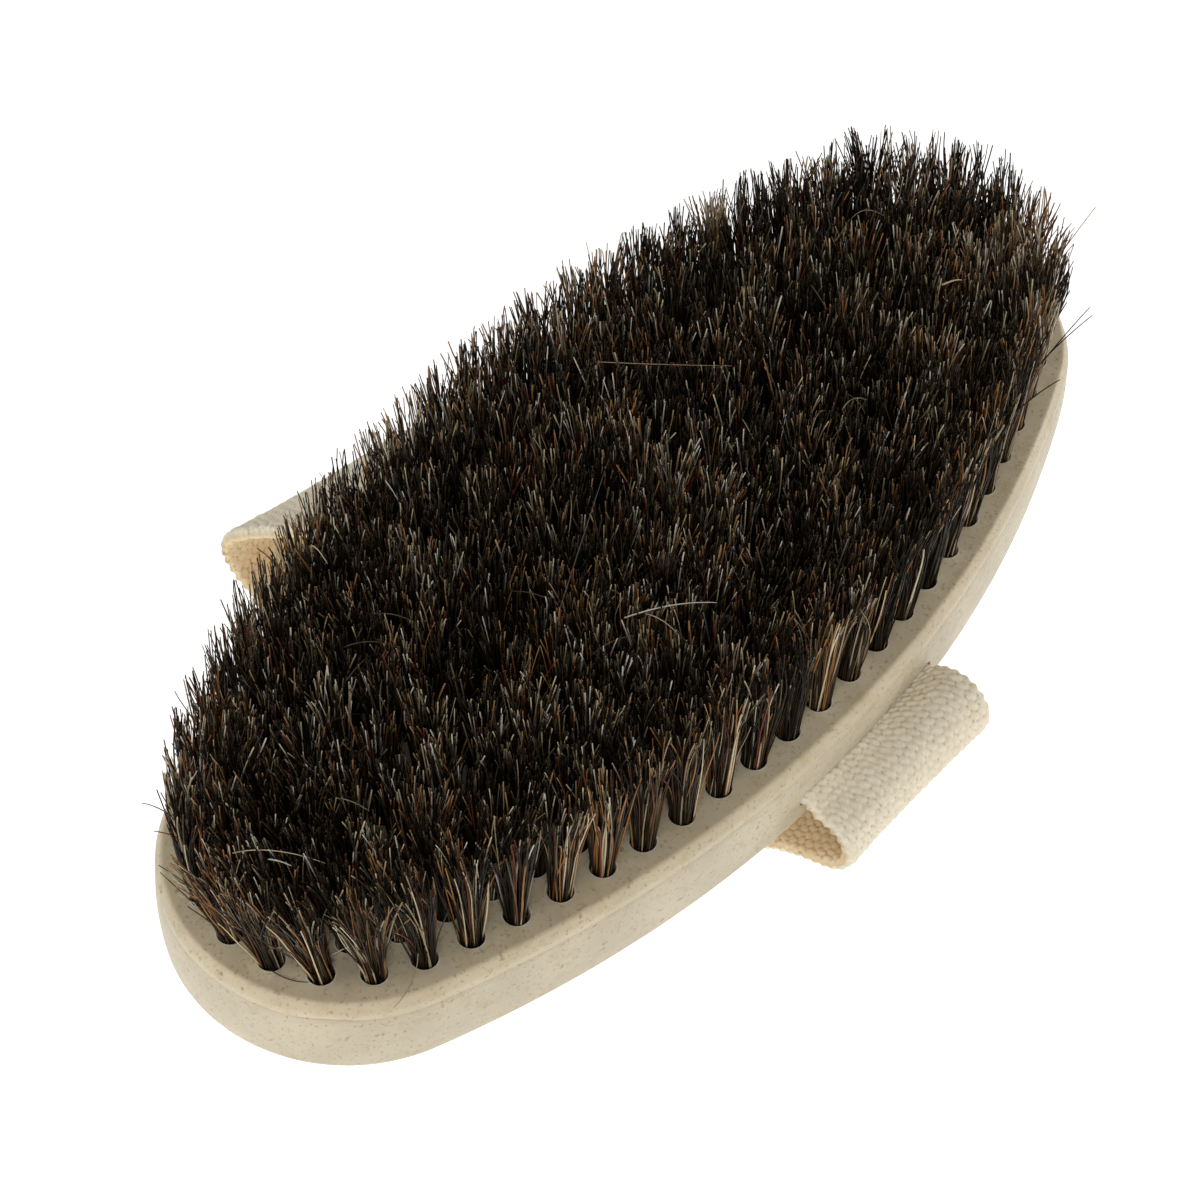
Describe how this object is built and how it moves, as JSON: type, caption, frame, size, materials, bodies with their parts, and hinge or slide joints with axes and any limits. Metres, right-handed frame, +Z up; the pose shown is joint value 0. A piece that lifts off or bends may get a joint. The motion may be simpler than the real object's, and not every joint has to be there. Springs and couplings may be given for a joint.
{
  "type": "body dry brush",
  "caption": "Oval palm brush for dry body brushing: natural hair tufts on a moulded two-part back with a slack webbing hand strap.",
  "frame": {"origin": "on the surface that the strap lies on, straight under the middle of the oval back", "axes": "+X along the brush, +Y across it towards the larger strap loop, +Z up towards the bristle tips"},
  "size_m": [0.14, 0.0913, 0.0471],
  "materials": {
    "moulded_back": "moulded plant-fibre plastic, cream with fine brown specks",
    "hair": "natural horsehair, brown-black with tan strands",
    "webbing": "unbleached woven cotton webbing",
    "wire": "drawn wire"
  },
  "bodies": {
    "brush": {"back_shell": "moulded_back", "bristle_plate": "moulded_back", "strap_front_loop": "webbing", "strap_rear_loop": "webbing", "strap_front_staples": "wire", "strap_rear_staples": "wire", "tufts_ring_1": "hair", "tufts_ring_2": "hair", "tufts_ring_3": "hair", "tufts_ring_4": "hair", "tufts_ring_5": "hair", "tufts_ring_6": "hair", "tufts_centre_row": "hair", "anchors_ring_1": "wire", "anchors_ring_2": "wire", "anchors_ring_3": "wire", "anchors_ring_4": "wire", "anchors_ring_5": "wire", "anchors_ring_6": "wire", "anchors_centre_row": "wire"},
    "palm_band": {"strap_palm_band": "webbing"}
  },
  "joints": [
    {"name": "strap_lift", "type": "slide", "parent": "brush", "child": "palm_band", "axis": [0, 0, -1], "range_m": [0, 0.01], "deforming": ["strap_front_loop", "strap_rear_loop"]}
  ]
}
